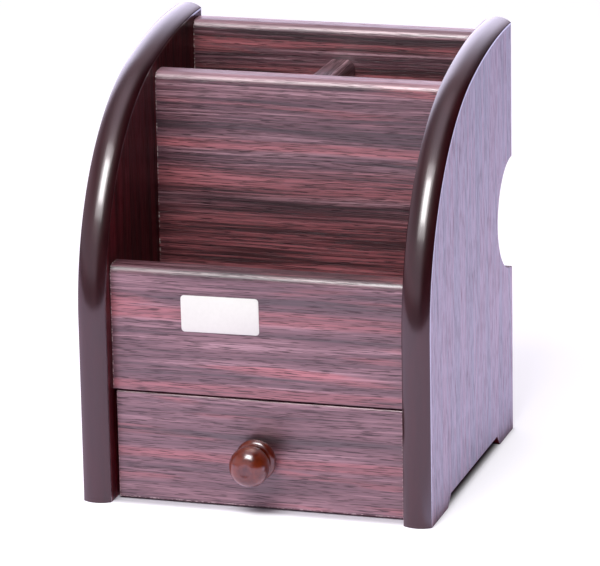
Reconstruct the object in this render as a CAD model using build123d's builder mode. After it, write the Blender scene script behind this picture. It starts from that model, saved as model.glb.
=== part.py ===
from build123d import *
from math import asin, atan2, cos, degrees, radians, sqrt
import os

os.makedirs("parts", exist_ok=True)

# Pen stand with a drawer: two curved side boards carry a front, a middle and a back panel,
# a floor and a base board. +X is the right-hand side seen from the front, the front faces -Y
# and the stand rests on Z = 0. The origin is the middle of its footprint, knob included.
# All lengths are millimetres.

# ---------------------------------------------------------------- driving dimensions
carcass_w = 150.0  # over the outer faces of the two side boards
board_t = 12.0  # laminated board of the carcass and of the drawer front
board_d = 135.0  # front edge to back edge of a side board
board_h = 180.0  # height of a side board at its back edge
edge_round = 3.5  # rounding along the top edges of the cross panels

# side board outline
front_straight = 78.5  # height at which the front edge starts to curve back
crown_rise = 5.5  # how much higher the flat crown arc ends than the shoulder arc would
front_foot_l = 25.0
rear_foot_l = 23.0
foot_h = 5.0  # height of the gap between the feet
foot_run = 4.8  # length over which each end of that gap slopes
cutout_r = 24.5  # half-round cut-out in the back edge
cutout_z = 98.0

# edge moulding: a T section with a crowned face and a barbed tongue
moulding_lip = 0.9  # height of its straight flank
moulding_crown = 2.2  # rise of the crowned face above the flank
moulding_arris = 0.6  # rounding where flank and crown meet
tongue_t = 1.5
tongue_l = 7.0
barb_count = 3
barb_pitch = 1.9
barb_lead = 1.0  # plain end of the tongue beyond the last barb
barb_reach = 0.35  # how far a barb stands out of the tongue on each side
slot_side_gap = 0.05  # slot wall to barb tip
slot_end_gap = 0.8  # slot bottom to the end of the tongue

# cross panels, set out from the front edge of the side boards and from the ground
front_setback = 5.5
bay_top = 47.7  # underside of the front panel and of the compartment floor
front_top = 101.0
middle_setback = 70.0
middle_drop = 3.4  # top of the middle panel below the curved edges beside it
back_bottom = 5.0
back_drop = 2.0  # top of the back panel below the back corners of the side boards
floor_t = 12.0
divider_x = 3.3  # the rear divider stands a little right of the middle
divider_drop = 3.5  # top of the divider below the middle panel

# base board under the drawer
base_t = 3.0
base_z = 7.0
base_groove = 4.0  # depth of its grooves in the side boards
groove_fit = 0.1  # play of the base board in a groove, on each face

# dowels of the glued joints
dowel_r = 2.5
dowel_into_side = 8.0
dowel_into_end = 13.0
dowel_fit = 0.05  # radial
dowel_end_gap = 0.5
dowel_margin = 16.0  # outermost dowel to the end of its joint
dowel_reach_gap = 12.0  # dowel to the rim of the half-round cut-out

# drawer
front_lift = 0.8  # drawer front above the ground
front_gap = 0.8  # above the drawer front
side_gap = 1.4  # each side of the drawer
slide_gap = 0.3  # drawer box above the base board, and drawer front before it
front_arris = 0.4  # small bevel round the drawer front
box_gap = 3.4  # drawer box below the compartment floor
box_t = 6.0  # drawer sides and back
rear_gap = 5.0  # behind the drawer
rebate = 6.0  # how far the drawer sides lap into the drawer front
bottom_t = 2.5
bottom_up = 3.0  # drawer bottom above the lower edge of the box
bottom_groove = 3.0
bottom_fit = 0.1

# headless brads of the drawer box
brad_r = 0.7
brad_l = 14.0
brad_fit = 0.04
brad_margin = 6.5  # outermost brad to the drawer bottom and to the top of the box
brads_per_corner = 2

# knob and its screw
knob_z = 23.0
seat_r = 6.6
seat_l = 2.9
bead_r = 2.2  # section of the bead collar
neck_r = 5.0  # where the ball leaves the collar
ball_r = 8.45
cheek_r = 6.3  # rounding from the fullest part of the ball to its flatter front,
front_r = 12.0  # and radius of that front
dimple_r = 3.0
dimple_deep = 0.5
screw_r = 1.9
screw_head_r = 3.4
screw_head_t = 2.2
screw_head_round = 0.8
screw_into_knob = 12.0
screw_fit = 0.05

# ---------------------------------------------------------------- derived places
bead_s = seat_l + bead_r  # distances before the drawer front: fullest part of the collar,
neck_s = seat_l + 2 * bead_r  # neck,
ball_s = neck_s + sqrt(ball_r**2 - neck_r**2)  # fullest part of the ball,
cheek_angle = degrees(asin((ball_r - cheek_r) / (front_r - cheek_r)))  # from the knob's axis
front_s = ball_s - (front_r - cheek_r) * cos(radians(cheek_angle))  # centre of the flatter front,
knob_s = front_s + sqrt(front_r**2 - dimple_r**2)  # and rim of the dimple, the tip of the knob
edge_y = (knob_s - front_setback - board_d) / 2  # front edge of the side boards
back_y = edge_y + board_d
inner_x = carcass_w / 2 - board_t
mid_x = carcass_w / 2 - board_t / 2
interior_w = 2 * inner_x
SIDES = (("left", -1), ("right", 1))

face_y = edge_y + front_setback  # face of the front panel and of the drawer
panel_back_y = face_y + board_t
middle_y = edge_y + middle_setback
middle_back_y = middle_y + board_t
back_face_y = back_y - board_t
floor_top = bay_top + floor_t
base_front_y = panel_back_y + slide_gap

# the shoulder arc ends tangent to the crown arc, and the crown arc ends level at the back
shoulder_r = board_h - front_straight - crown_rise
crown_r = ((board_d - shoulder_r) ** 2 + (board_h - front_straight) ** 2 - shoulder_r**2) / (
    2 * crown_rise
)
shoulder_at = (edge_y + shoulder_r, front_straight)
crown_at = (back_y, board_h - crown_r)
join_angle = degrees(atan2(shoulder_at[1] - crown_at[1], shoulder_at[0] - crown_at[0]))
join_y = shoulder_at[0] + shoulder_r * cos(radians(join_angle))


def edge_height(y):
    """height of a side board's curved edge at this place along its depth"""
    centre, radius = (shoulder_at, shoulder_r) if y < join_y else (crown_at, crown_r)
    return centre[1] + sqrt(radius**2 - (y - centre[0]) ** 2)


def curved_edge(inset, foot):
    """draws a side board's front and top edge, or a line this far inside it, from the height foot up"""
    Line((edge_y + inset, foot), (edge_y + inset, front_straight))
    CenterArc(shoulder_at, shoulder_r - inset, 180, join_angle - 180)
    CenterArc(crown_at, crown_r - inset, join_angle, 90 - join_angle)


def spread(low, high, count):
    """count values spaced evenly from low to high"""
    return [low + (high - low) * i / (count - 1) for i in range(count)]


middle_top = edge_height(middle_y) - middle_drop
back_top = board_h - back_drop
divider_top = middle_top - divider_drop


# ---------------------------------------------------------------- dowel joints
# Each row of dowels across the width: its (y, z) places on the inner faces of the side boards.
cutout_bottom = cutout_z - cutout_r
dowel_rows = {
    "front_panel_dowels": [
        (face_y + board_t / 2, z) for z in spread(bay_top + dowel_margin, front_top - dowel_margin, 2)
    ],
    "middle_panel_dowels": [
        (middle_y + board_t / 2, z)
        for z in spread(floor_top + dowel_margin, middle_top - dowel_margin, 2)
    ],
    "back_panel_dowels": [
        (back_y - board_t / 2, z)
        for z in (
            back_bottom + dowel_margin,
            cutout_bottom - dowel_reach_gap,
            back_top - dowel_margin,
        )
    ],
    "floor_dowels": [
        (y, bay_top + floor_t / 2)
        for y in spread(panel_back_y + dowel_margin, back_face_y - dowel_margin, 2)
    ],
}
dowel_l = dowel_into_side + dowel_into_end - 2 * dowel_end_gap
bore_l = dowel_into_side + dowel_into_end
bore_mid_x = inner_x + (dowel_into_side - dowel_into_end) / 2

side_bores = {}
for row_name, places in dowel_rows.items():
    with BuildPart() as dowels:
        with Locations(*[(s * bore_mid_x, y, z) for _, s in SIDES for y, z in places]):
            Cylinder(dowel_r, dowel_l, rotation=(0, 90, 0))
    dowels.part.label = row_name
    export_step(dowels.part, f"parts/{row_name}.step")

    with BuildPart() as bores:
        with Locations(*[(s * bore_mid_x, y, z) for _, s in SIDES for y, z in places]):
            Cylinder(dowel_r + dowel_fit, bore_l, rotation=(0, 90, 0))
    side_bores[row_name] = bores.part

# The divider is dowelled to the middle and the back panel, so its dowels run along Y.
divider_zs = spread(floor_top + dowel_margin, divider_top - dowel_margin, 2)
divider_ends = ((middle_back_y, 1), (back_face_y, -1))
divider_bore_ys = [y + s * (dowel_into_end - dowel_into_side) / 2 for y, s in divider_ends]
with BuildPart() as divider_dowels:
    with Locations(*[(divider_x, y, z) for y in divider_bore_ys for z in divider_zs]):
        Cylinder(dowel_r, dowel_l, rotation=(90, 0, 0))
divider_dowels.part.label = "divider_dowels"
export_step(divider_dowels.part, "parts/divider_dowels.step")

with BuildPart() as divider_bores:
    with Locations(*[(divider_x, y, z) for y in divider_bore_ys for z in divider_zs]):
        Cylinder(dowel_r + dowel_fit, bore_l, rotation=(90, 0, 0))

# ---------------------------------------------------------------- side boards
slot_t = tongue_t + 2 * barb_reach + 2 * slot_side_gap
slot_l = tongue_l + slot_end_gap
over = 1.0  # cutters run this far past the ends

for side, s in SIDES:
    with BuildPart() as side_board:
        # outline: up the straight front, over the shoulder and the crown, down the back, feet
        with BuildSketch(Plane.YZ.offset(s * mid_x - board_t / 2)) as outline:
            with BuildLine():
                curved_edge(0, 0)
                Polyline(
                    (back_y, board_h),
                    (back_y, 0),
                    (back_y - rear_foot_l, 0),
                    (back_y - rear_foot_l - foot_run, foot_h),
                    (edge_y + front_foot_l + foot_run, foot_h),
                    (edge_y + front_foot_l, 0),
                    (edge_y, 0),
                )
            make_face()
            with Locations((back_y, cutout_z)):
                Circle(cutout_r, mode=Mode.SUBTRACT)
        extrude(amount=board_t)

        # slot for the tongue of the moulding, along the whole curved edge
        with BuildSketch(Plane.YZ.offset(s * mid_x - slot_t / 2)):
            with BuildLine():
                curved_edge(0, -over)
                curved_edge(slot_l, -over)
                Line((edge_y, -over), (edge_y + slot_l, -over))
                Polyline(
                    (back_y, board_h),
                    (back_y + over, board_h),
                    (back_y + over, board_h - slot_l),
                    (back_y, board_h - slot_l),
                )
            make_face()
        extrude(amount=slot_t, mode=Mode.SUBTRACT)

        # groove for the base board, stopped behind the drawer front and at the back panel
        with Locations((s * inner_x, (base_front_y + back_face_y) / 2, base_z + base_t / 2)):
            Box(
                2 * base_groove,
                back_face_y - base_front_y,
                base_t + 2 * groove_fit,
                mode=Mode.SUBTRACT,
            )
        for bore in side_bores.values():
            add(bore, mode=Mode.SUBTRACT)
    name = f"{side}_side_board"
    side_board.part.label = name
    export_step(side_board.part, f"parts/{name}.step")

# ---------------------------------------------------------------- edge mouldings
# The T section is drawn on the ground at the foot of the front edge, its crown towards -Y
# and its tongue towards +Y, and is carried up the front and over the curve.
half_w = board_t / 2
half_t = tongue_t / 2
for side, s in SIDES:
    with BuildPart() as moulding:
        with BuildLine(Plane.YZ.offset(s * mid_x)) as edge_path:
            curved_edge(0, 0)
        with BuildSketch(Plane.XY) as section:
            with BuildLine():
                flank_y = edge_y - moulding_lip
                x0 = s * mid_x
                Line((x0 - half_w, edge_y), (x0 - half_w, flank_y))
                ThreePointArc(
                    (x0 - half_w, flank_y),
                    (x0, flank_y - moulding_crown),
                    (x0 + half_w, flank_y),
                )
                Line((x0 + half_w, flank_y), (x0 + half_w, edge_y))
                Line((x0 + half_w, edge_y), (x0 - half_w, edge_y))
            make_face()
            fillet(section.vertices().group_by(Axis.Y)[0], radius=moulding_arris)
            with Locations((x0, edge_y + tongue_l / 2)):
                Rectangle(tongue_t, tongue_l)
            # each barb slants back towards the crown, so that it goes in and won't come out
            for i in range(barb_count):
                tip_y = edge_y + tongue_l - barb_lead - i * barb_pitch
                with BuildLine():
                    Polyline(
                        (x0 - half_t - barb_reach, tip_y - barb_pitch / 2),
                        (x0 + half_t + barb_reach, tip_y - barb_pitch / 2),
                        (x0 + half_t, tip_y),
                        (x0 - half_t, tip_y),
                        close=True,
                    )
                make_face()
        sweep(path=edge_path.wire())
    name = f"{side}_edge_moulding"
    moulding.part.label = name
    export_step(moulding.part, f"parts/{name}.step")

# ---------------------------------------------------------------- cross panels
with BuildPart() as front_panel:
    with Locations((0, face_y + board_t / 2, (bay_top + front_top) / 2)):
        Box(interior_w, board_t, front_top - bay_top)
    fillet(front_panel.edges().filter_by(Axis.X).group_by(Axis.Z)[-1], radius=edge_round)
    front_low_edge = front_panel.edges().filter_by(Axis.X).group_by(Axis.Z)[0].sort_by(Axis.Y)[0]
    chamfer(front_low_edge, length=front_arris)
    add(side_bores["front_panel_dowels"], mode=Mode.SUBTRACT)
front_panel.part.label = "front_panel"
export_step(front_panel.part, "parts/front_panel.step")

with BuildPart() as middle_panel:
    with Locations((0, middle_y + board_t / 2, (floor_top + middle_top) / 2)):
        Box(interior_w, board_t, middle_top - floor_top)
    fillet(middle_panel.edges().filter_by(Axis.X).group_by(Axis.Z)[-1], radius=edge_round)
    add(side_bores["middle_panel_dowels"], mode=Mode.SUBTRACT)
    add(divider_bores.part, mode=Mode.SUBTRACT)
middle_panel.part.label = "middle_panel"
export_step(middle_panel.part, "parts/middle_panel.step")

with BuildPart() as back_panel:
    with Locations((0, back_y - board_t / 2, (back_bottom + back_top) / 2)):
        Box(interior_w, board_t, back_top - back_bottom)
    fillet(back_panel.edges().filter_by(Axis.X).group_by(Axis.Z)[-1], radius=edge_round)
    add(side_bores["back_panel_dowels"], mode=Mode.SUBTRACT)
    add(divider_bores.part, mode=Mode.SUBTRACT)
back_panel.part.label = "back_panel"
export_step(back_panel.part, "parts/back_panel.step")

with BuildPart() as rear_divider:
    with Locations((divider_x, (middle_back_y + back_face_y) / 2, (floor_top + divider_top) / 2)):
        Box(board_t, back_face_y - middle_back_y, divider_top - floor_top)
    fillet(rear_divider.edges().filter_by(Axis.Y).group_by(Axis.Z)[-1], radius=edge_round)
    add(divider_bores.part, mode=Mode.SUBTRACT)
rear_divider.part.label = "rear_divider"
export_step(rear_divider.part, "parts/rear_divider.step")

with BuildPart() as compartment_floor:
    with Locations((0, (panel_back_y + back_face_y) / 2, bay_top + floor_t / 2)):
        Box(interior_w, back_face_y - panel_back_y, floor_t)
    add(side_bores["floor_dowels"], mode=Mode.SUBTRACT)
compartment_floor.part.label = "compartment_floor"
export_step(compartment_floor.part, "parts/compartment_floor.step")

with BuildPart() as base_board:
    with Locations((0, (base_front_y + back_face_y) / 2, base_z + base_t / 2)):
        Box(
            interior_w + 2 * (base_groove - groove_fit),
            back_face_y - base_front_y,
            base_t,
        )
base_board.part.label = "base_board"
export_step(base_board.part, "parts/base_board.step")

# ---------------------------------------------------------------- drawer
drawer_w = interior_w - 2 * side_gap
drawer_top = bay_top - front_gap
lap_y = panel_back_y - rebate  # front ends of the drawer sides
box_back_y = back_face_y - rear_gap
box_z = base_z + base_t + slide_gap
box_h = bay_top - box_gap - box_z
bottom_z = box_z + bottom_up
side_x = drawer_w / 2 - box_t / 2
box_inner_w = drawer_w - 2 * box_t
groove_z = bottom_z + bottom_t / 2
groove_h = bottom_t + 2 * bottom_fit

# brads go through a side into the lap of the front, and through a side into the back
brad_zs = spread(bottom_z + bottom_t + brad_margin, box_z + box_h - brad_margin, brads_per_corner)
brad_rows = {
    "drawer_front_brads": lap_y + rebate / 2,
    "drawer_back_brads": box_back_y - box_t / 2,
}
brad_bores = {}
for row_name, y in brad_rows.items():
    with BuildPart() as brads:
        with Locations(*[(s * (drawer_w - brad_l) / 2, y, z) for _, s in SIDES for z in brad_zs]):
            Cylinder(brad_r, brad_l, rotation=(0, 90, 0))
    brads.part.label = row_name
    export_step(brads.part, f"parts/{row_name}.step")

    bore_reach = brad_l + brad_fit
    with BuildPart() as bores:
        with Locations(*[(s * (drawer_w - bore_reach) / 2, y, z) for _, s in SIDES for z in brad_zs]):
            Cylinder(brad_r + brad_fit, bore_reach, rotation=(0, 90, 0))
    brad_bores[row_name] = bores.part

with BuildPart() as drawer_front:
    with Locations((0, face_y + board_t / 2, (front_lift + drawer_top) / 2)):
        Box(drawer_w, board_t, drawer_top - front_lift)
    chamfer(drawer_front.faces().sort_by(Axis.Y)[0].edges(), length=front_arris)
    # rebates for the ends of the sides, open at the back
    for _, s in SIDES:
        with Locations((s * side_x, panel_back_y - rebate / 2, box_z + box_h / 2)):
            Box(box_t, rebate, box_h, mode=Mode.SUBTRACT)
    # groove for the drawer bottom
    with Locations((0, panel_back_y - bottom_groove / 2, groove_z)):
        Box(box_inner_w + 2 * bottom_groove, bottom_groove, groove_h, mode=Mode.SUBTRACT)
    with Locations((0, face_y + board_t / 2, knob_z)):
        Cylinder(screw_r + screw_fit, board_t, rotation=(90, 0, 0), mode=Mode.SUBTRACT)
    add(brad_bores["drawer_front_brads"], mode=Mode.SUBTRACT)
drawer_front.part.label = "drawer_front"
export_step(drawer_front.part, "parts/drawer_front.step")

for side, s in SIDES:
    with BuildPart() as drawer_side:
        with Locations((s * side_x, (lap_y + box_back_y) / 2, box_z + box_h / 2)):
            Box(box_t, box_back_y - lap_y, box_h)
        with Locations((s * (box_inner_w / 2), (lap_y + box_back_y) / 2, groove_z)):
            Box(2 * bottom_groove, box_back_y - lap_y, groove_h, mode=Mode.SUBTRACT)
        for bore in brad_bores.values():
            add(bore, mode=Mode.SUBTRACT)
    name = f"drawer_{side}_side"
    drawer_side.part.label = name
    export_step(drawer_side.part, f"parts/{name}.step")

# the back stands on the drawer bottom, which slides in under it
back_z = bottom_z + bottom_t + bottom_fit
with BuildPart() as drawer_back:
    with Locations((0, box_back_y - box_t / 2, (back_z + box_z + box_h) / 2)):
        Box(box_inner_w, box_t, box_z + box_h - back_z)
    add(brad_bores["drawer_back_brads"], mode=Mode.SUBTRACT)
drawer_back.part.label = "drawer_back"
export_step(drawer_back.part, "parts/drawer_back.step")

bottom_front_y = panel_back_y - bottom_groove + bottom_fit
with BuildPart() as drawer_bottom:
    with Locations((0, (bottom_front_y + box_back_y) / 2, groove_z)):
        Box(
            box_inner_w + 2 * (bottom_groove - bottom_fit),
            box_back_y - bottom_front_y,
            bottom_t,
        )
drawer_bottom.part.label = "drawer_bottom"
export_step(drawer_bottom.part, "parts/drawer_bottom.step")

# ---------------------------------------------------------------- knob and screw
# Turned profile: u is the distance before the drawer front, v the radius.
knob_plane = Plane(origin=(0, face_y, knob_z), x_dir=(0, -1, 0), z_dir=(1, 0, 0))
neck_angle = degrees(atan2(neck_r, neck_s - ball_s))
dimple_angle = degrees(asin(dimple_r / front_r))
with BuildPart() as drawer_knob:
    with BuildSketch(knob_plane):
        with BuildLine():
            Polyline((0, 0), (0, seat_r), (seat_l, seat_r))
            ThreePointArc((seat_l, seat_r), (bead_s, seat_r + bead_r), (neck_s, seat_r))
            Line((neck_s, seat_r), (neck_s, neck_r))
            CenterArc((ball_s, 0), ball_r, neck_angle, 90 - neck_angle)
            CenterArc((ball_s, ball_r - cheek_r), cheek_r, 90, cheek_angle - 90)
            CenterArc((front_s, 0), front_r, cheek_angle, dimple_angle - cheek_angle)
            TangentArc((knob_s - dimple_deep, 0), (knob_s, dimple_r), tangent=(0, 1))
            Line((knob_s - dimple_deep, 0), (0, 0))
        make_face()
    revolve(axis=Axis((0, face_y, knob_z), (0, -1, 0)))
    with Locations((0, face_y - screw_into_knob / 2, knob_z)):
        Cylinder(screw_r + screw_fit, screw_into_knob, rotation=(90, 0, 0), mode=Mode.SUBTRACT)
drawer_knob.part.label = "drawer_knob"
export_step(drawer_knob.part, "parts/drawer_knob.step")

with BuildPart() as knob_screw:
    screw_l = board_t + screw_into_knob - screw_fit
    with Locations((0, panel_back_y - screw_l / 2, knob_z)):
        Cylinder(screw_r, screw_l, rotation=(90, 0, 0))
    with Locations((0, panel_back_y + screw_head_t / 2, knob_z)):
        Cylinder(screw_head_r, screw_head_t, rotation=(90, 0, 0))
    fillet(knob_screw.edges().sort_by(Axis.Y)[-1], radius=screw_head_round)
knob_screw.part.label = "knob_screw"
export_step(knob_screw.part, "parts/knob_screw.step")
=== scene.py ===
# %% [markdown]
# # A pen stand with a drawer
# The stand is already built to size: every board, dowel and brad is there, with its true place and
# its body. This lesson gives it its looks. It first fixes the camera and the light, then replaces
# the pieces whose curved or rounded faces deserve a finer surface, and at last gives each piece its
# finish. Nothing is moved: a new piece takes its place and size from the node that it stands for.

# %% Load the measured model
from math import cos, radians, sin

import bmesh
import bpy
import numpy as np
from mathutils import Matrix, Vector


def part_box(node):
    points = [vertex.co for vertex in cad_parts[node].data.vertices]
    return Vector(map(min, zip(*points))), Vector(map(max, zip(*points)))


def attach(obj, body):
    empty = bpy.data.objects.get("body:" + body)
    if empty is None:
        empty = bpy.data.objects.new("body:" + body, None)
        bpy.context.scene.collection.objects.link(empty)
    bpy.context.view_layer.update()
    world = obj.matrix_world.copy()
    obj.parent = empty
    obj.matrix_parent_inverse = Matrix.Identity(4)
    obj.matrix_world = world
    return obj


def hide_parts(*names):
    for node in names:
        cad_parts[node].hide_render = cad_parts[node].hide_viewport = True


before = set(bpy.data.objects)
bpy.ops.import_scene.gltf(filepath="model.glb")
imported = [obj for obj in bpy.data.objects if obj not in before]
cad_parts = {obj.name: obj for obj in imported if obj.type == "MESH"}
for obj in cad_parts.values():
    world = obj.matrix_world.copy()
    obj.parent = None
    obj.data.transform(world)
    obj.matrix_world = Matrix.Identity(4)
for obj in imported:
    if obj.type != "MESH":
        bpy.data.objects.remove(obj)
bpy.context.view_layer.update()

MM = 0.001  # the scene is in metres, most sizes below are written in millimetres
scene = bpy.context.scene

# %% [markdown]
# ## Camera
# The photograph was taken with a long lens from a little above and to the right. Its angles were
# fitted to the straight edges of the stand. A camera could be aimed by a constraint, but a matrix
# made from yaw, pitch and roll says exactly where it looks, and leaves nothing to evaluate.

# %% Camera
image_w = 600  # pixels
focal_px = 4509.0
yaw, pitch, roll = radians(16.95), radians(16.06), radians(-1.07)
distance = 1.889
board_low, board_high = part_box("right_side_board")
aim = np.array([0.0, board_low.y + 60.0 * MM, 90.0 * MM])
slide_right, slide_up = 2.3 * MM, -7.7 * MM

forward = np.array([-sin(yaw) * cos(pitch), cos(yaw) * cos(pitch), -sin(pitch)])
level_right = np.array([cos(yaw), sin(yaw), 0.0])
level_up = np.cross(level_right, forward)
right = cos(roll) * level_right + sin(roll) * level_up
up = -sin(roll) * level_right + cos(roll) * level_up
eye = aim - forward * distance + right * slide_right + up * slide_up

camera_data = bpy.data.cameras.new("camera")
camera_data.sensor_width = 36.0
camera_data.lens = focal_px * camera_data.sensor_width / image_w
camera = bpy.data.objects.new("camera", camera_data)
scene.collection.objects.link(camera)
turn = Matrix((right, up, -forward)).transposed()
camera.matrix_world = Matrix.Translation(Vector(eye)) @ turn.to_4x4()
scene.camera = camera
scene.view_settings.view_transform = "Standard"
print("camera at", np.round(eye, 3), "lens", round(camera_data.lens, 1))

# %% [markdown]
# ## Node helpers
# Every finish and the studio itself are node trees. They could be wired by hand in the shader
# editor, but written out, one tree serves many boards with small changes. Helpers keep that short:
# `put` adds a node and fills its sockets with numbers or with other nodes' outputs, `calc` is a
# Math node that hands back its output, and the others are a soft step, a colour ramp and a blend.


# %% Node helpers
def put(tree, kind, sockets=None, **settings):
    """Adds a node of this kind. sockets maps a socket's name or number to a value or an output."""
    made = tree.nodes.new("ShaderNode" + kind)
    for name, value in settings.items():
        setattr(made, name, value)
    for name, value in (sockets or {}).items():
        if isinstance(value, bpy.types.NodeSocket):
            tree.links.new(value, made.inputs[name])
        else:
            made.inputs[name].default_value = value
    return made


def calc(tree, operation, a, b=0.0, c=0.0):
    """One Math node: operation on a, b and c."""
    return put(tree, "Math", {0: a, 1: b, 2: c}, operation=operation).outputs[0]


def smooth(tree, value, low, high):
    """0 at low and before it, 1 at high and beyond, an even S between. low may be the greater."""
    made = put(
        tree,
        "MapRange",
        {"Value": value, "From Min": low, "From Max": high},
        interpolation_type="SMOOTHSTEP",
    )
    return made.outputs["Result"]


def ramp(tree, value, stops):
    """A colour ramp through (place, (r, g, b)) stops."""
    made = put(tree, "ValToRGB", {"Fac": value})
    elements = made.color_ramp.elements
    while len(elements) < len(stops):
        elements.new(0.5)
    for element, (place, colour) in zip(elements, stops):
        element.position = place
        element.color = (*colour, 1.0)
    return made.outputs["Color"]


def blend_colours(tree, share, a, b):
    """Colour b laid over colour a by this share."""
    made = put(tree, "Mix", data_type="RGBA")
    for name, value in (("Factor_Float", share), ("A_Color", a), ("B_Color", b)):
        socket = next(s for s in made.inputs if s.identifier == name)
        if isinstance(value, bpy.types.NodeSocket):
            tree.links.new(value, socket)
        else:
            socket.default_value = value if name == "Factor_Float" else (*value, 1.0)
    return next(s for s in made.outputs if s.identifier == "Result_Color")


# %% [markdown]
# ## Studio
# The stand was photographed on a white sweep under one soft box above and in front, with white
# walls behind it and a darker room in front. A picture of a studio could be wrapped round the
# scene. Here the sky is a function of direction, which has no seams and is easy to tune: bright
# behind, dim in front just above the table, dark to the right, and plain white wherever the camera
# looks straight at it. It leans slightly to lavender, as the light on the real stand does.

# %% Sky
sky = bpy.data.worlds.new("studio")
scene.world = sky
sky.use_nodes = True
tree = sky.node_tree
tree.nodes.clear()
heading = put(tree, "SeparateXYZ", {0: put(tree, "TexCoord").outputs["Generated"]})
to_right, to_back, to_zenith = heading.outputs
height = calc(tree, "MULTIPLY_ADD", to_zenith, 0.5, 0.5)  # 0.5 is level, 1 is straight up
room = ramp(
    tree,
    height,
    [
        (0.50, (0.20, 0.14, 0.17)),
        (0.56, (0.86, 0.66, 0.80)),
        (0.70, (0.66, 0.50, 0.60)),
        (0.83, (0.24, 0.18, 0.22)),
        (0.93, (0.55, 0.44, 0.50)),
        (1.00, (1.25, 1.00, 1.18)),
    ],
)
wall = ramp(
    tree,
    height,
    [(0.50, (2.10, 1.95, 2.50)), (0.72, (2.10, 1.95, 2.50)), (0.86, (0.48, 0.38, 0.44))],
)
room = blend_colours(tree, smooth(tree, to_right, 0.02, 0.40), room, (0.010, 0.005, 0.008))
not_right = smooth(tree, to_right, 0.25, -0.05)
behind = calc(tree, "MULTIPLY", smooth(tree, to_back, 0.35, 0.70), not_right)
around = blend_colours(tree, behind, room, wall)
lit = put(tree, "Background", {"Color": around, "Strength": 1.0})
plain = put(tree, "Background", {"Color": (1.0, 1.0, 1.0, 1.0), "Strength": 1.0})
seen = put(tree, "LightPath").outputs["Is Camera Ray"]
mixed = put(tree, "MixShader", {0: seen, 1: lit.outputs[0], 2: plain.outputs[0]})
put(tree, "OutputWorld", {"Surface": mixed.outputs[0]})
print("sky of", len(tree.nodes), "nodes")

# %% [markdown]
# The soft box hangs above and in front of the stand. Its height and direction were read from the
# long highlights on the two mouldings: a mirror image on a curve of known radius says where the
# light is. The box is brighter in its heart than at its rim. A glowing plane with a colour ramp
# could do that. Here a small area lamp hangs just in front of a wide one, and each has its power.


# %% Soft box
lamp_tint = (1.0, 0.96, 0.97)
lamp_aim = Vector((0.0, 0.0, 0.10))


def soft_box(name, place, side, power):
    """A square lamp at place, side metres wide, that shines at the middle of the stand."""
    data = bpy.data.lights.new(name, "AREA")
    data.shape = "SQUARE"
    data.size, data.energy, data.color = side, power, lamp_tint
    lamp = bpy.data.objects.new(name, data)
    scene.collection.objects.link(lamp)
    turned = (lamp_aim - Vector(place)).to_track_quat("-Z", "Y").to_matrix().to_4x4()
    lamp.matrix_world = Matrix.Translation(Vector(place)) @ turned
    print(f"{name}: {side} m wide, {power} W")


soft_box("soft_box_rim", (-0.05, -0.81, 1.12), 0.88, 9.0)
soft_box("soft_box_heart", (-0.04, -0.80, 1.10), 0.50, 11.0)

# %% [markdown]
# ## Floor
# The sweep is a plain white sheet. The floor could be left out and the shadow painted under the
# stand, but a real sheet also lights the stand from below and shows in its lacquer. It ends a
# little way in front of the stand, because the darkness beyond it shows in the lower curve of the
# mouldings.

# %% Floor sheet
floor_half_w, floor_front_y, floor_back_y = 3.0, -0.52, 3.5
floor_corners = [
    (-floor_half_w, floor_front_y, 0.0),
    (floor_half_w, floor_front_y, 0.0),
    (floor_half_w, floor_back_y, 0.0),
    (-floor_half_w, floor_back_y, 0.0),
]
floor_mesh = bpy.data.meshes.new("floor")
floor_mesh.from_pydata(floor_corners, [], [(0, 1, 2, 3)])
floor = bpy.data.objects.new("floor", floor_mesh)
scene.collection.objects.link(floor)
print("floor of", 2 * floor_half_w, "by", floor_back_y - floor_front_y, "m")

# %% [markdown]
# What the camera sees of the floor and what the stand mirrors of it are tuned apart, by the kind
# of ray. The mirrored sheet is white, with cool daylight beside the right board. The seen one is a
# shaded white with a glow of its own, so that only the stand's shadow is darker than the
# background. The glow stops at the stand's outline, because no light gets in under it.

# %% Floor finish
daylight_x, daylight_y = (0.074, 0.084), (-0.12, -0.02)  # over these metres the daylight sets in
glow_from, glow_full = -3.5 * MM, 3.0 * MM  # distances from the outline

sheet = bpy.data.materials.new("white_sweep")
sheet.use_nodes = True
tree = sheet.node_tree
tree.nodes.clear()
matt = put(tree, "BsdfDiffuse", {"Color": (0.96, 0.80, 0.98, 1.0)})
place = put(tree, "SeparateXYZ", {0: put(tree, "TexCoord").outputs["Object"]}).outputs
to_side, to_rear = smooth(tree, place[0], *daylight_x), smooth(tree, place[1], *daylight_y)
cool = calc(tree, "MULTIPLY", to_side, to_rear)
daylight = put(tree, "Emission", {"Color": (1.05, 1.15, 1.8, 1.0), "Strength": cool})
mirrored = put(tree, "AddShader", {0: matt.outputs[0], 1: daylight.outputs[0]})

feet = np.array([list(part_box("left_side_board")[0]), list(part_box("right_side_board")[1])])
feet_mid, feet_half = feet.mean(0), (feet[1] - feet[0]) / 2
away = [calc(tree, "ABSOLUTE", calc(tree, "SUBTRACT", place[k], feet_mid[k])) for k in (0, 1)]
beyond = [calc(tree, "SUBTRACT", away[k], feet_half[k]) for k in (0, 1)]
outside = calc(tree, "MAXIMUM", *beyond)  # distance from the stand's outline on the floor
open_air = smooth(tree, outside, glow_from, glow_full)
shaded = put(tree, "BsdfDiffuse", {"Color": (0.52, 0.53, 0.57, 1.0)})
glow = put(tree, "Emission", {"Color": (0.66, 0.66, 0.68, 1.0), "Strength": open_air})
to_camera = put(tree, "AddShader", {0: shaded.outputs[0], 1: glow.outputs[0]})
seen = put(tree, "LightPath").outputs["Is Camera Ray"]
mixed = put(tree, "MixShader", {0: seen, 1: mirrored.outputs[0], 2: to_camera.outputs[0]})
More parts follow.
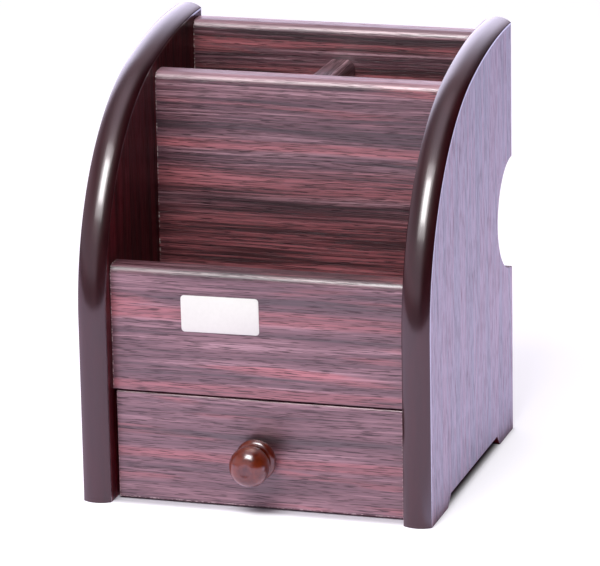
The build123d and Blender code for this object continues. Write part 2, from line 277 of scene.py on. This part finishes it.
put(tree, "OutputMaterial", {"Surface": mixed.outputs[0]})
floor_mesh.materials.append(sheet)
print("floor finish of", len(tree.nodes), "nodes")

# %% [markdown]
# ## Surfaces from grids
# Each new piece is a surface of two parameters: stations along a path, and places round a section.
# Points are worked out as whole arrays and handed to the mesh at once. Modelling by hand or with a
# chain of extrusions would give the same boards, but a formula keeps every rounding exact.


# %% Grid to mesh
def skin(name, points, ends="caps", smooth_angle=35.0):
    """Makes a closed piece from points[station, place, xyz], where the places run round a section.

    Quads join each station to the next. The two open ends are closed with one polygon each, or,
    with ends="poles", by a fan to the middle of the first and of the last ring.
    """
    stations, places = points.shape[:2]
    index = np.arange(stations * places).reshape(stations, places)
    ahead = np.roll(index, -1, axis=1)
    quads = np.stack([index[:-1], ahead[:-1], ahead[1:], index[1:]], axis=-1).reshape(-1, 4)
    corners = points.reshape(-1, 3)
    faces = quads.tolist()
    if ends == "poles":
        corners = np.vstack([corners, points[0].mean(0), points[-1].mean(0)])
        first, last = stations * places, stations * places + 1
        fan_in = np.stack([ahead[0], index[0], np.full(places, first)], axis=-1)
        fan_out = np.stack([index[-1], ahead[-1], np.full(places, last)], axis=-1)
        faces += fan_in.tolist() + fan_out.tolist()
    else:
        faces += [index[0][::-1].tolist(), index[-1].tolist()]
    mesh = bpy.data.meshes.new(name)
    mesh.from_pydata(corners.tolist(), [], faces)
    shape = bmesh.new()
    shape.from_mesh(mesh)
    volume = shape.calc_volume(signed=True)
    shape.free()
    if volume < 0:
        mesh.flip_normals()
    mesh.shade_smooth()
    mesh.set_sharp_from_angle(angle=radians(smooth_angle))
    piece = bpy.data.objects.new(name, mesh)
    scene.collection.objects.link(piece)
    size = np.round((corners.max(0) - corners.min(0)) / MM, 1)
    print(f"{name}: {len(faces)} faces, {abs(volume) * 1e6:.1f} cm3, size {size} mm")
    return piece


def even_light(piece):
    """Lets the big flat faces keep their own direction, so that a small rounding stays small."""
    piece.modifiers.new("flat_faces", "WEIGHTED_NORMAL").keep_sharp = True


# %% [markdown]
# ## Edge mouldings
# A soft plastic T-moulding runs up the front of each side board and over its curved top. Its face
# is crowned, its tongue sits in a slot, and barbs on the tongue keep it there. It is extruded by
# the metre on the real stand and bent round the board, so here too one section is carried along
# one path. The path is the board's edge: a straight, a shoulder arc and a flat crown arc that ends
# level at the back.

# %% The path along a side board's edge
board_t = board_high.x - board_low.x
edge_y, back_y, board_h = board_low.y, board_high.y, board_high.z
straight = 78.5 * MM  # height of the straight front
crown_rise = 5.5 * MM  # how much higher the crown arc ends than the shoulder arc would

shoulder_r = board_h - straight - crown_rise
reach, climb = back_y - edge_y - shoulder_r, board_h - straight
crown_r = (reach**2 + climb**2 - shoulder_r**2) / (2 * crown_rise)
shoulder_at = np.array([edge_y + shoulder_r, straight])
crown_at = np.array([back_y, board_h - crown_r])
join = np.arctan2(*(shoulder_at - crown_at)[::-1])


def edge_path(on_straight=10, on_shoulder=90, on_crown=40):
    """Places and outward directions along the edge, as (y, z) pairs.

    On the straight the place climbs and the direction is -Y. On an arc the direction turns evenly
    and the place is the arc's centre plus the radius times the direction.
    """
    rise = np.linspace(0, straight, on_straight, endpoint=False)
    at = [np.stack([np.full_like(rise, edge_y), rise], axis=1)]
    out = [np.tile([-1.0, 0.0], (on_straight, 1))]
    arcs = ((shoulder_at, shoulder_r, np.linspace(np.pi, join, on_shoulder, endpoint=False)),
            (crown_at, crown_r, np.linspace(join, np.pi / 2, on_crown)))
    for centre, radius, angle in arcs:
        direction = np.stack([np.cos(angle), np.sin(angle)], axis=1)
        at.append(centre + radius * direction)
        out.append(direction)
    return np.vstack(at), np.vstack(out)


print("shoulder", round(shoulder_r / MM, 1), "crown", round(crown_r / MM, 1), "mm")

# %% [markdown]
# The section is drawn flat first: a flank, a small arris, the crowned face, the same again, and
# the tongue with its barbs. A curve object with a bevel profile could carry it, but as an array of
# places it is carried along the whole path in one step, and its ends close on their own.

# %% The T section
lip = 0.9 * MM  # straight flank
crown = 2.2 * MM  # rise of the crowned face above the flank
arris = 0.6 * MM  # rounding between them
tongue_t, tongue_l = 1.5 * MM, 7.0 * MM
barbs, barb_pitch, barb_lead, barb_reach = 3, 1.9 * MM, 1.0 * MM, 0.35 * MM


def moulding_section(on_crown=33, on_arris=7):
    """The T section as (across, outwards) places, counter-clockwise.

    The crowned face is an arc over the full width. Its roundings are arcs of the arris radius,
    centred where the crown and the flank, both moved inwards by that radius, would meet.
    """
    half = board_t / 2
    radius = (half**2 + crown**2) / (2 * crown)
    bottom = lip + crown - radius
    corner = np.array([half - arris, bottom + np.sqrt((radius - arris) ** 2 - (half - arris) ** 2)])
    lean = np.arcsin((half - arris) / (radius - arris))
    turn_in = np.pi / 2 - np.linspace(np.pi / 2, lean, on_arris)
    rounding = corner + arris * np.stack([np.cos(turn_in), np.sin(turn_in)], axis=1)
    sweep = np.linspace(lean, -lean, on_crown)[1:-1]
    face = np.stack([radius * np.sin(sweep), bottom + radius * np.cos(sweep)], axis=1)
    mirrored = rounding[::-1] * [-1, 1]
    tips = tongue_l - barb_lead - barb_pitch * np.arange(barbs)[::-1]
    widest = tips - barb_pitch / 2
    teeth = np.stack(
        [
            np.stack([np.full(barbs, tongue_t / 2), -widest], axis=1),
            np.stack([np.full(barbs, tongue_t / 2 + barb_reach), -widest], axis=1),
            np.stack([np.full(barbs, tongue_t / 2), -tips], axis=1),
        ],
        axis=1,
    ).reshape(-1, 2)
    down = np.vstack([[tongue_t / 2, 0.0], teeth, [tongue_t / 2, -tongue_l]])
    tongue = np.vstack([down * [-1, 1], down[::-1]])
    return np.vstack([[half, 0.0], rounding, face, mirrored, [-half, 0.0], tongue])


def carry_section(section, mid_x):
    """Each place of the section, moved across by X and outwards along the path's direction."""
    at, out = edge_path()
    across = np.broadcast_to(mid_x + section[:, 0], (len(at), len(section)))
    placed = at[:, None, :] + section[None, :, 1, None] * out[:, None, :]
    return np.concatenate([across[..., None], placed], axis=2)


mouldings = []
for side in ("left", "right"):
    low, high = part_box(f"{side}_side_board")
    name = f"{side}_crowned_moulding"
    moulding = skin(name, carry_section(moulding_section(), (low.x + high.x) / 2))
    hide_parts(f"{side}_edge_moulding")
    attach(moulding, "carcass")
    mouldings.append(moulding)

# %% [markdown]
# ## Boards with rounded tops
# The front, middle and back panels and the divider are laminated boards. The film is wrapped over
# their rounded top edges, which catch the light as pale lines. A box with a Bevel modifier would
# come close, but with two radii it needs a weight on every edge. So each is a rounded rectangle
# carried along the board's length, drawn in a little at both ends for the fine bevel that any sawn
# end has. The drawer front stays as it was built, because the drawer's sides lap into its ends.


# %% Rounded boards
least_r = 0.02 * MM  # what is left of a corner that is drawn in by its whole radius


def soft_rectangle(wide, tall, radii, inset, steps=9):
    """A rounded rectangle about the origin, as (across, up) places, counter-clockwise.

    radii are those of the lower right, upper right, upper left and lower left corner. Each corner
    is a quarter circle about a centre one radius in from both sides, and inset draws all of it in.
    """
    sign = np.array([[1, -1], [1, 1], [-1, 1], [-1, -1]])
    radii = np.maximum(np.array(radii, float) - inset, least_r)
    half = np.array([wide, tall]) / 2 - inset
    centre = sign * (half - radii[:, None])
    start = np.radians([-90, 0, 90, 180])[:, None]
    angle = start + np.linspace(0, np.pi / 2, steps)[None, :]
    spoke = np.stack([np.cos(angle), np.sin(angle)], axis=2)
    return (centre[:, None, :] + radii[:, None, None] * spoke).reshape(-1, 2)


def rounded_board(name, node, along, top, fine, steps=5):
    """A board in the place of a node. Its section lies across `along`, 0 for X or 1 for Y.

    top is the radius of its two upper edges, fine that of all other edges. Towards each end the
    section is drawn in by fine * (1 - sin t) while the station advances by fine * (1 - cos t).
    """
    low, high = (np.array(corner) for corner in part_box(node))
    middle, size = (low + high) / 2, high - low
    across = 1 - along
    t = np.linspace(0, np.pi / 2, steps)
    drawn_in, advance = fine * (1 - np.sin(t)), fine * (1 - np.cos(t))
    insets = np.concatenate([drawn_in, drawn_in[::-1]])
    places = np.concatenate([low[along] + advance, (high[along] - advance)[::-1]])
    sections = np.stack(
        [soft_rectangle(size[across], size[2], (fine, top, top, fine), inset) for inset in insets]
    )
    points = np.empty((*sections.shape[:2], 3))
    points[..., along] = places[:, None]
    points[..., across] = middle[across] + sections[..., 0]
    points[..., 2] = middle[2] + sections[..., 1]
    board = skin(name, points)
    even_light(board)
    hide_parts(node)
    return board


round_top = 3.5 * MM
fine_edge = 0.35 * MM
boards = {}
for name, node, along in (
    ("front_board", "front_panel", 0),
    ("middle_board", "middle_panel", 0),
    ("back_board", "back_panel", 0),
    ("divider_board", "rear_divider", 1),
):
    boards[node] = rounded_board(name, node, along, round_top, fine_edge)
    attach(boards[node], "carcass")

# %% [markdown]
# ## Knob
# The knob is turned from one piece of wood: a short seat, a bead collar, a narrow neck and a ball
# with a shallow dimple where the lathe's centre held it. A turned piece is a profile carried round
# its axis. A Screw modifier could turn it, but worked out as an array its poles close exactly. The
# profile is written as straight and round stretches of (distance, radius).

# %% Turned knob
knob_low, knob_high = (np.array(corner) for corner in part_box("drawer_knob"))
knob_axis = (knob_low + knob_high) / 2
seat_y = knob_high[1]  # where the seat meets the drawer front
seat_r, seat_l = 6.6 * MM, 2.9 * MM
seat_bevel = 0.3 * MM
nick_w, nick_deep = 0.25 * MM, 0.35 * MM  # half width and depth of the cut between seat and bead
bead_r = 2.2 * MM
ball_r, neck_r = 8.45 * MM, 5.0 * MM
cheek_r, front_r = 6.3 * MM, 12.0 * MM
dimple_r, dimple_deep = 3.0 * MM, 0.33 * MM
bore_r, bore_l = 1.95 * MM, 12.0 * MM


def arc(centre, radius, start, stop, count):
    """Places on a circle about centre, from start to stop degrees."""
    angle = np.radians(np.linspace(start, stop, count))
    return np.asarray(centre) + radius * np.stack([np.cos(angle), np.sin(angle)], axis=1)


def knob_profile():
    """(distance before the drawer front, radius) from the bottom of the screw bore to the dimple.

    The ball is three arcs that run into each other: its back, a tighter cheek, and a flatter front.
    """
    neck_s = seat_l + 2 * bead_r
    ball_s = neck_s + np.sqrt(ball_r**2 - neck_r**2)
    cheek = np.arcsin((ball_r - cheek_r) / (front_r - cheek_r))
    front_s = ball_s - (front_r - cheek_r) * np.cos(cheek)
    rim_s = front_s + np.sqrt(front_r**2 - dimple_r**2)
    dish_r = (dimple_r**2 + dimple_deep**2) / (2 * dimple_deep)
    from_neck = np.degrees(np.arctan2(neck_r, neck_s - ball_s))
    cheek, to_dimple, rim = np.degrees(
        [cheek, np.arcsin(dimple_r / front_r), np.arcsin(dimple_r / dish_r)]
    )
    return np.vstack(
        [
            [[bore_l, bore_r / 5], [bore_l, bore_r], [0, bore_r], [0, seat_r - seat_bevel]],
            [[seat_bevel, seat_r], [seat_l - nick_w, seat_r], [seat_l, seat_r - nick_deep]],
            [[seat_l + nick_w, seat_r]],
            arc((seat_l + bead_r, seat_r), bead_r, 172, 8, 25),
            arc((ball_s, 0.0), ball_r, from_neck, 90, 31),
            arc((ball_s, ball_r - cheek_r), cheek_r, 90, cheek, 31)[1:],
            arc((front_s, 0.0), front_r, cheek, to_dimple, 7)[1:],
            arc((rim_s - dimple_deep + dish_r, 0.0), dish_r, 180 - rim, 179, 9)[1:],
        ]
    )


def turn_profile(profile, steps=96):
    """Carries (distance, radius) round the knob's axis, which points to -Y."""
    angle = np.linspace(0, 2 * np.pi, steps, endpoint=False)
    x = knob_axis[0] + profile[:, 1, None] * np.cos(angle)
    z = knob_axis[2] + profile[:, 1, None] * np.sin(angle)
    y = np.broadcast_to(seat_y - profile[:, 0, None], x.shape)
    return np.stack([x, y, z], axis=2)


knob = skin("turned_knob", turn_profile(knob_profile()), ends="poles", smooth_angle=40.0)
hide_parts("drawer_knob")
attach(knob, "drawer")

# %% [markdown]
# ## Blank plate
# A small blank white plate with rounded corners is stuck on the front panel, a little askew. A
# thin box with its corners bevelled would do. The boards' own rounded rectangle is at hand, so it
# is carried through the plate's thickness, and its front edge is eased.

# %% Blank plate
plate_w, plate_h, plate_t = 33.4 * MM, 15.5 * MM, 0.25 * MM
plate_at = np.array([-15.7 * MM, 82.5 * MM])  # x and z of its middle
plate_turn = radians(0.6)
plate_corner = 1.5 * MM
plate_ease = 0.1 * MM
face_y = boards["front_panel"].bound_box[0][1]
rises = np.array([0.0, plate_t - plate_ease, plate_t - plate_ease / 3, plate_t])
draws = np.array([0.0, 0.0, plate_ease / 3, plate_ease])
loops = np.stack([soft_rectangle(plate_w, plate_h, (plate_corner,) * 4, d, 13) for d in draws])
spin = np.array([[cos(plate_turn), sin(plate_turn)], [-sin(plate_turn), cos(plate_turn)]])
flat = loops @ spin + plate_at
depth = np.broadcast_to((face_y - rises)[:, None], flat.shape[:2])
plate = skin("blank_plate", np.stack([flat[..., 0], depth, flat[..., 1]], axis=2))
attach(plate, "carcass")

# %% [markdown]
# ## Finishes
# Every finish starts the same way: an empty tree with one surface shader, and the object's own
# coordinates in millimetres, turned so that the first axis runs along the grain. A UV map could
# carry the pattern too, but the object's coordinates run through a board as real grain does, and
# need no unwrapping.


# %% A finish and its coordinates
def finish(name, **constants):
    """A material with one surface shader. Constants are set on the shader's own sockets."""
    made = bpy.data.materials.new(name)
    made.use_nodes = True
    tree = made.node_tree
    tree.nodes.clear()
    surface = put(tree, "BsdfPrincipled")
    put(tree, "OutputMaterial", {"Surface": surface.outputs[0]})
    for socket, value in constants.items():
        surface.inputs[socket.replace("_", " ")].default_value = value
    return made, tree, surface


def grain_space(tree, order, shift=(0.0, 0.0, 0.0)):
    """Object coordinates in millimetres, as (along, across, through). order names their axes."""
    place = put(tree, "TexCoord").outputs["Object"]
    scaled = put(tree, "Mapping", {"Vector": place, "Location": shift, "Scale": (1 / MM,) * 3})
    axes = dict(zip("XYZ", put(tree, "SeparateXYZ", {0: scaled.outputs[0]}).outputs))
    return [axes[letter] for letter in order]


def stretched(tree, axes, lengths):
    """Coordinates in which one unit is one feature of these lengths, in millimetres."""
    parts = [calc(tree, "DIVIDE", axis, length) for axis, length in zip(axes, lengths)]
    return put(tree, "CombineXYZ", dict(enumerate(parts))).outputs[0]


def noise(tree, axes, lengths, detail=2.0, rough=0.5):
    """Fractal noise, about 0.5 on average, with features of these lengths in millimetres."""
    vector = stretched(tree, axes, lengths)
    sockets = {"Vector": vector, "Scale": 1.0, "Detail": detail, "Roughness": rough}
    return put(tree, "TexNoise", sockets).outputs[0]


# %% [markdown]
# ## Wood-grain film
# The boards are covered with a printed and embossed film: dark rosewood with redder and greyer
# bands, fine dark pores and a satin lacquer. A photograph of wood would be one way to make it. Here
# it is layers of noise, each much longer along the grain than across it, because layers can be
# sized, reddened and worn board by board. Broad bands, streaks and fibres make the printed tone.


# %% Grain
grain = {  # millimetres along, across and through
    "drift": (90, 22, 22),
    "bands": (110, 4.5, 4.5),
    "streaks": (70, 1.2, 1.2),
    "fibres": (44, 0.40, 0.40),
    "pores": (9, 0.34, 0.34),
    "blush": (90, 7, 7),
    "flecks": (1.3, 1.0, 1.3),
}
drift_reach = 1.2  # how far the grain wanders to either side, in millimetres


def wander(tree, axes):
    """The axes, with the one across the grain moved by drift_reach * (2 * drift - 1)."""
    along, across, through = axes
    drift = noise(tree, axes, grain["drift"], 1.0)
    moved = calc(tree, "MULTIPLY_ADD", drift, 2 * drift_reach, -drift_reach)
    return along, calc(tree, "ADD", across, moved), through


def printed_tone(tree, axes, fibres, contrast):
    """0 dark to 1 pale: 0.36 bands + 0.36 streaks + 0.28 fibres, spread about 0.5 by contrast."""
    bands = noise(tree, axes, grain["bands"])
    streaks = noise(tree, axes, grain["streaks"], 2.0, 0.6)
    tone = calc(tree, "MULTIPLY", smooth(tree, bands, 0.32, 0.68), 0.36)
    tone = calc(tree, "MULTIPLY_ADD", smooth(tree, streaks, 0.32, 0.68), 0.36, tone)
    tone = calc(tree, "MULTIPLY_ADD", smooth(tree, fibres, 0.3, 0.7), 0.28, tone)
    return calc(tree, "MULTIPLY_ADD", tone, contrast, 0.5 * (1.0 - contrast))


print("grain of", len(grain), "kinds")

# %% [markdown]
# Every board has its own figure: redder and darker bands at some depth below its top. Low on the
# middle panel the wide dark and red band is painted shade, deep in the front compartment. Where
# the film ends at a joint it is chipped, which shows as pale flecks, and a dark line of painted
# shade lies in the gap. Both could be painted on, but a distance from the board's own top or end
# needs no painting and stays right when the board changes.


# %% Figure and wear
def banded(tree, depth, figure):
    """How much of these bands lies here. Each is (middle, half width) in millimetres of depth."""
    total = 0.0
    for middle, half in figure:
        away = calc(tree, "ABSOLUTE", calc(tree, "SUBTRACT", depth, middle))
        total = calc(tree, "ADD", smooth(tree, away, half, half * 0.3), total)
    return total


def chipped_and_shaded_ends(tree, order, low, high, facing, bare_foot):
    """(flecks, painted joint shade) as shares from 0 to 1 by the distance from a board's two ends.

    low and high are the board's corners in millimetres. With bare_foot the flecks also follow its
    lower edge. Neither lies on the faces that look along the board.
    """
    own = grain_space(tree, order)
    away = calc(tree, "ABSOLUTE", calc(tree, "SUBTRACT", own[0], (low[0] + high[0]) / 2))
    from_end = calc(tree, "SUBTRACT", (high[0] - low[0]) / 2, away)
    near = from_end
    if bare_foot:
        near = calc(tree, "MINIMUM", from_end, calc(tree, "SUBTRACT", own[1], low[2]))
    on_face = smooth(tree, calc(tree, "ABSOLUTE", facing[0]), 0.6, 0.3)
    flecks = smooth(tree, noise(tree, own, grain["flecks"], 1.0), 0.52, 0.60)
    flecks = calc(tree, "MULTIPLY", smooth(tree, near, 0.80, 0.40), flecks)
    flecks = calc(tree, "MULTIPLY", flecks, on_face)
    # painted shade: a near-black line in the gap close to each end
    joint = calc(tree, "MULTIPLY", smooth(tree, from_end, 0.45, 0.15), on_face)
    return flecks, joint


# %% [markdown]
# The tone picks a colour from one of three rows: plain rosewood, its redder bands, and the much
# darker tones of the side boards, which are painted shade. Pores, a painted pale highlight on the
# rounded tops, joint lines of painted shade and chips are laid over it in turn. The lacquer is the
# shader's coat. It misses the pores, so they stay dark where the film shines, and they press the
# surface in. It is thinner on tops, on undersides and inside the side boards.


# %% Film
wood_tones = [
    (0.15, (0.014, 0.002, 0.004)),
    (0.40, (0.066, 0.018, 0.027)),
    (0.60, (0.155, 0.070, 0.085)),
    (0.88, (0.350, 0.210, 0.240)),
]
rosy_tones = [(0.15, (0.035, 0.004, 0.006)), (0.85, (0.390, 0.105, 0.118))]
shaded_side_tones = [(0.2, (0.024, 0.0004, 0.0014)), (0.8, (0.090, 0.0016, 0.0056))]
pore_colour, top_highlight_colour = (0.012, 0.003, 0.006), (0.42, 0.26, 0.30)
joint_shade_colour, chip_colour = (0.008, 0.002, 0.003), (0.40, 0.34, 0.32)


def film(
    name, order, shift, side_shade=0.0, gloss=1.0, contrast=1.0, board=None, red=(), dark=(),
    bare_foot=False, painted_top_highlight=0.0, outward=0,
):
    """The laminate film with its grain along the first axis of order.

    shift moves the film over the noise, in millimetres. side_shade is the share of the much
    darker side-board tones, a painted shade. gloss is the weight of its lacquer and contrast
    spreads the tones about their middle. board is a piece whose top and ends place the red and
    dark bands, given in millimetres below its top, and the chips and the painted shade of the
    joint at its two ends, with bare_foot the chips also along its lower edge.
    painted_top_highlight is the share of a pale painted highlight on its rounded top. outward is
    1 or -1 for a board whose outer face looks along or against X: the inner face is duller.
    """
    made, tree, surface = finish(
        name, IOR=1.5, Specular_IOR_Level=0.1, Roughness=0.5, Coat_IOR=2.2, Coat_Roughness=0.35
    )
    axes = wander(tree, grain_space(tree, order, shift))
    fibres = noise(tree, axes, grain["fibres"], 2.0, 0.6)
    pores = smooth(tree, noise(tree, axes, grain["pores"], 1.0), 0.45, 0.36)
    blush = smooth(tree, noise(tree, axes, grain["blush"]), 0.58, 0.70)
    tone = printed_tone(tree, axes, fibres, contrast)
    facing = put(tree, "SeparateXYZ", {0: put(tree, "TexCoord").outputs["Normal"]}).outputs
    crest = smooth(tree, facing[2], 0.25, 0.70)
    sole = smooth(tree, facing[2], -0.3, -0.8)
    flecks, joint = 0.0, 0.0
    if board:
        low, high = (np.array(board.bound_box[corner]) / MM for corner in (0, 6))
        depth = calc(tree, "SUBTRACT", high[2] + shift[2], axes[1])
        tone = calc(tree, "MULTIPLY_ADD", banded(tree, depth, dark), -0.20, tone)
        blush = calc(tree, "MAXIMUM", blush, banded(tree, depth, red))
        flecks, joint = chipped_and_shaded_ends(tree, order, low, high, facing, bare_foot)

    colour = ramp(tree, tone, wood_tones)
    for share, over in (
        (calc(tree, "MINIMUM", blush, 0.85), ramp(tree, tone, rosy_tones)),
        (calc(tree, "MULTIPLY", pores, 0.8), pore_colour),
        # painted highlight: the rounded tops of the middle and back panels are made paler
        (calc(tree, "MULTIPLY", crest, painted_top_highlight), top_highlight_colour),
        # painted shade: the side boards' much darker tones
        (side_shade, ramp(tree, tone, shaded_side_tones)),
        # painted shade in the gap at a board's two ends
        (joint, joint_shade_colour),
        (flecks, chip_colour),
    ):
        colour = blend_colours(tree, share, colour, over)
    tree.links.new(colour, surface.inputs["Base Color"])

    inner = 0.0
    if outward:
        inner = smooth(tree, calc(tree, "MULTIPLY", facing[0], outward), 0.2, -0.2)
    shine = gloss
    for mask, loss in ((pores, 0.45), (joint, 0.8), (inner, 0.8), (sole, 0.9), (crest, 0.3)):
        shine = calc(tree, "MULTIPLY", shine, calc(tree, "MULTIPLY_ADD", mask, -loss, 1.0))
    tree.links.new(shine, surface.inputs["Coat Weight"])
    tree.links.new(calc(tree, "MULTIPLY_ADD", pores, 0.2, 0.5), surface.inputs["Roughness"])
    relief = calc(tree, "MULTIPLY_ADD", pores, -0.7, fibres)
    bump = put(tree, "Bump", {"Height": relief, "Strength": 0.6, "Distance": 0.06 * MM})
    for socket in ("Normal", "Coat Normal"):
        tree.links.new(bump.outputs[0], surface.inputs[socket])
    print(f"{name}: {len(tree.nodes)} nodes")
    return made


# %% [markdown]
# The panels' bands lie where the photograph shows them. The film of each board starts at a place
# of its own in the noise, as sheets cut from one long roll do, so no two boards look the same. The
# side boards' film is upright and much darker: painted shade, as on their shaded inner faces.


# %% Film on the boards
def dress(piece, made):
    """Gives a piece this finish in place of whatever it had."""
    piece.data.materials.clear()
    piece.data.materials.append(made)


figures_and_shade = {
    "front_panel": {"contrast": 0.85, "red": ((19, 4), (51, 3)), "dark": ((2, 3), (12, 2.5))},
    # low on the middle panel the wide dark band (71, 20) and red band (72, 19) are painted shade
    "middle_panel": {
        "contrast": 1.1,
        "red": ((30, 3), (45, 8), (72, 19)),
        "dark": ((24, 4), (71, 20)),
        "painted_top_highlight": 0.4,
    },
    "back_panel": {
        "contrast": 1.2,
        "red": ((8, 3), (24, 8)),
        "dark": ((5, 3), (17, 7)),
        "painted_top_highlight": 0.3,
    },
    "drawer_front": {
        "contrast": 0.65,
        "red": ((26, 3),),
        "dark": ((17, 4), (32, 2)),
        "bare_foot": True,
    },
    "rear_divider": {},
}
filmed = {**boards, "drawer_front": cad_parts["drawer_front"]}
for number, (node, board) in enumerate(filmed.items()):
    shift = (37.0 * number, 61.0 * number, 23.0 * number)
    order, ended = ("YXZ", None) if node == "rear_divider" else ("XZY", board)
    dress(board, film(f"film_{node}", order, shift, board=ended, **figures_and_shade[node]))
for number, (side, outward) in enumerate((("left", -1), ("right", 1))):
    # side_shade=0.97 is painted shade: both side boards take the dark tones of a shaded inner face
    side_film = film(
        f"film_{side}", "ZYX", (0, 300 * number, 90), side_shade=0.97, gloss=0.61, contrast=1.8,
        outward=outward,
    )
    dress(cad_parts[f"{side}_side_board"], side_film)
dress(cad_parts["compartment_floor"], film("film_floor", "XYZ", (15, 70, 5)))
drawer_box = {"drawer_left_side": "YZX", "drawer_right_side": "YZX", "drawer_back": "XZY"}
for node, order in drawer_box.items():
    dress(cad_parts[node], film(f"film_{node}", order, (11, 7, 3)))

# %% [markdown]
# ## The other finishes
# The moulding is a dark red-brown plastic, the knob is stained and lacquered wood, the plate is
# coated paper, and the hidden pieces are beech dowels, hardboard bottoms and zinc-plated steel.
# Each could have one even colour. One layer of noise at its own scale drives colour, roughness and
# a slight relief instead, because no real surface is perfectly even.


# %% Mottled finishes
def mottled(name, order, lengths, dull, bright, rough, relief, **constants):
    """A finish whose noise, with features of these lengths, goes from dull to bright.

    rough are the roughnesses at both, and relief is (length, depth) of the small bumps. All
    lengths are in millimetres.
    """
    made, tree, surface = finish(name, **constants)
    axes = grain_space(tree, order)
    cloud = noise(tree, axes, lengths, 3.0, 0.6)
    share = smooth(tree, cloud, 0.3, 0.7)
    tree.links.new(ramp(tree, share, [(0.0, dull), (1.0, bright)]), surface.inputs["Base Color"])
    level = calc(tree, "MULTIPLY_ADD", share, rough[1] - rough[0], rough[0])
    tree.links.new(level, surface.inputs["Roughness"])
    length, depth = relief
    ratio = lengths[0] / lengths[1]
    fine = noise(tree, axes, (length * ratio, length, length))
    bump = put(tree, "Bump", {"Height": fine, "Strength": 0.5, "Distance": depth * MM})
    tree.links.new(bump.outputs[0], surface.inputs["Normal"])
    print(f"{name}: {len(tree.nodes)} nodes")
    return made


extruded = mottled(
    "extruded_plastic",
    "ZYX",
    lengths=(30, 30, 6),
    dull=(0.012, 0.0008, 0.0016),
    bright=(0.022, 0.002, 0.003),
    rough=(0.30, 0.36),
    relief=(2.5, 0.02),
    IOR=1.5, Specular_IOR_Level=0.4, Coat_Weight=0.9, Coat_IOR=1.6, Coat_Roughness=0.13,
)
lacquer = mottled(
    "turned_lacquer",
    "YXZ",
    lengths=(16, 7, 7),
    dull=(0.042, 0.003, 0.001),
    bright=(0.135, 0.020, 0.002),
    rough=(0.30, 0.36),
    relief=(1.5, 0.01),
    IOR=1.5, Specular_IOR_Level=0.2, Coat_Weight=1.0, Coat_IOR=1.8, Coat_Roughness=0.18,
)
paper = mottled(
    "white_plate",
    "XZY",
    lengths=(1.5, 1.5, 1.5),
    dull=(0.65, 0.72, 0.66),
    bright=(0.67, 0.74, 0.68),
    rough=(0.45, 0.55),
    relief=(0.3, 0.01),
)
beech = mottled(
    "beech",
    "XZY",
    lengths=(7, 0.5, 0.5),
    dull=(0.42, 0.25, 0.12),
    bright=(0.66, 0.46, 0.27),
    rough=(0.50, 0.65),
    relief=(0.3, 0.04),
)
hardboard = mottled(
    "hardboard",
    "XYZ",
    lengths=(1.4, 1.4, 1.4),
    dull=(0.10, 0.050, 0.028),
    bright=(0.22, 0.12, 0.07),
    rough=(0.55, 0.75),
    relief=(0.6, 0.06),
)
zinc = mottled(
    "zinc",
    "YXZ",
    lengths=(5, 0.6, 0.6),
    dull=(0.48, 0.48, 0.51),
    bright=(0.70, 0.70, 0.72),
    rough=(0.25, 0.45),
    relief=(0.4, 0.01),
    Metallic=1.0,
)

# %% The other pieces
for moulding in mouldings:
    dress(moulding, extruded)
dress(knob, lacquer)
dress(plate, paper)
for node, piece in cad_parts.items():
    if node.endswith("dowels"):
        dress(piece, beech)
    elif node in ("base_board", "drawer_bottom"):
        dress(piece, hardboard)
    elif node.endswith("brads") or node == "knob_screw":
        dress(piece, zinc)
print("finishes:", ", ".join(made.name for made in bpy.data.materials))
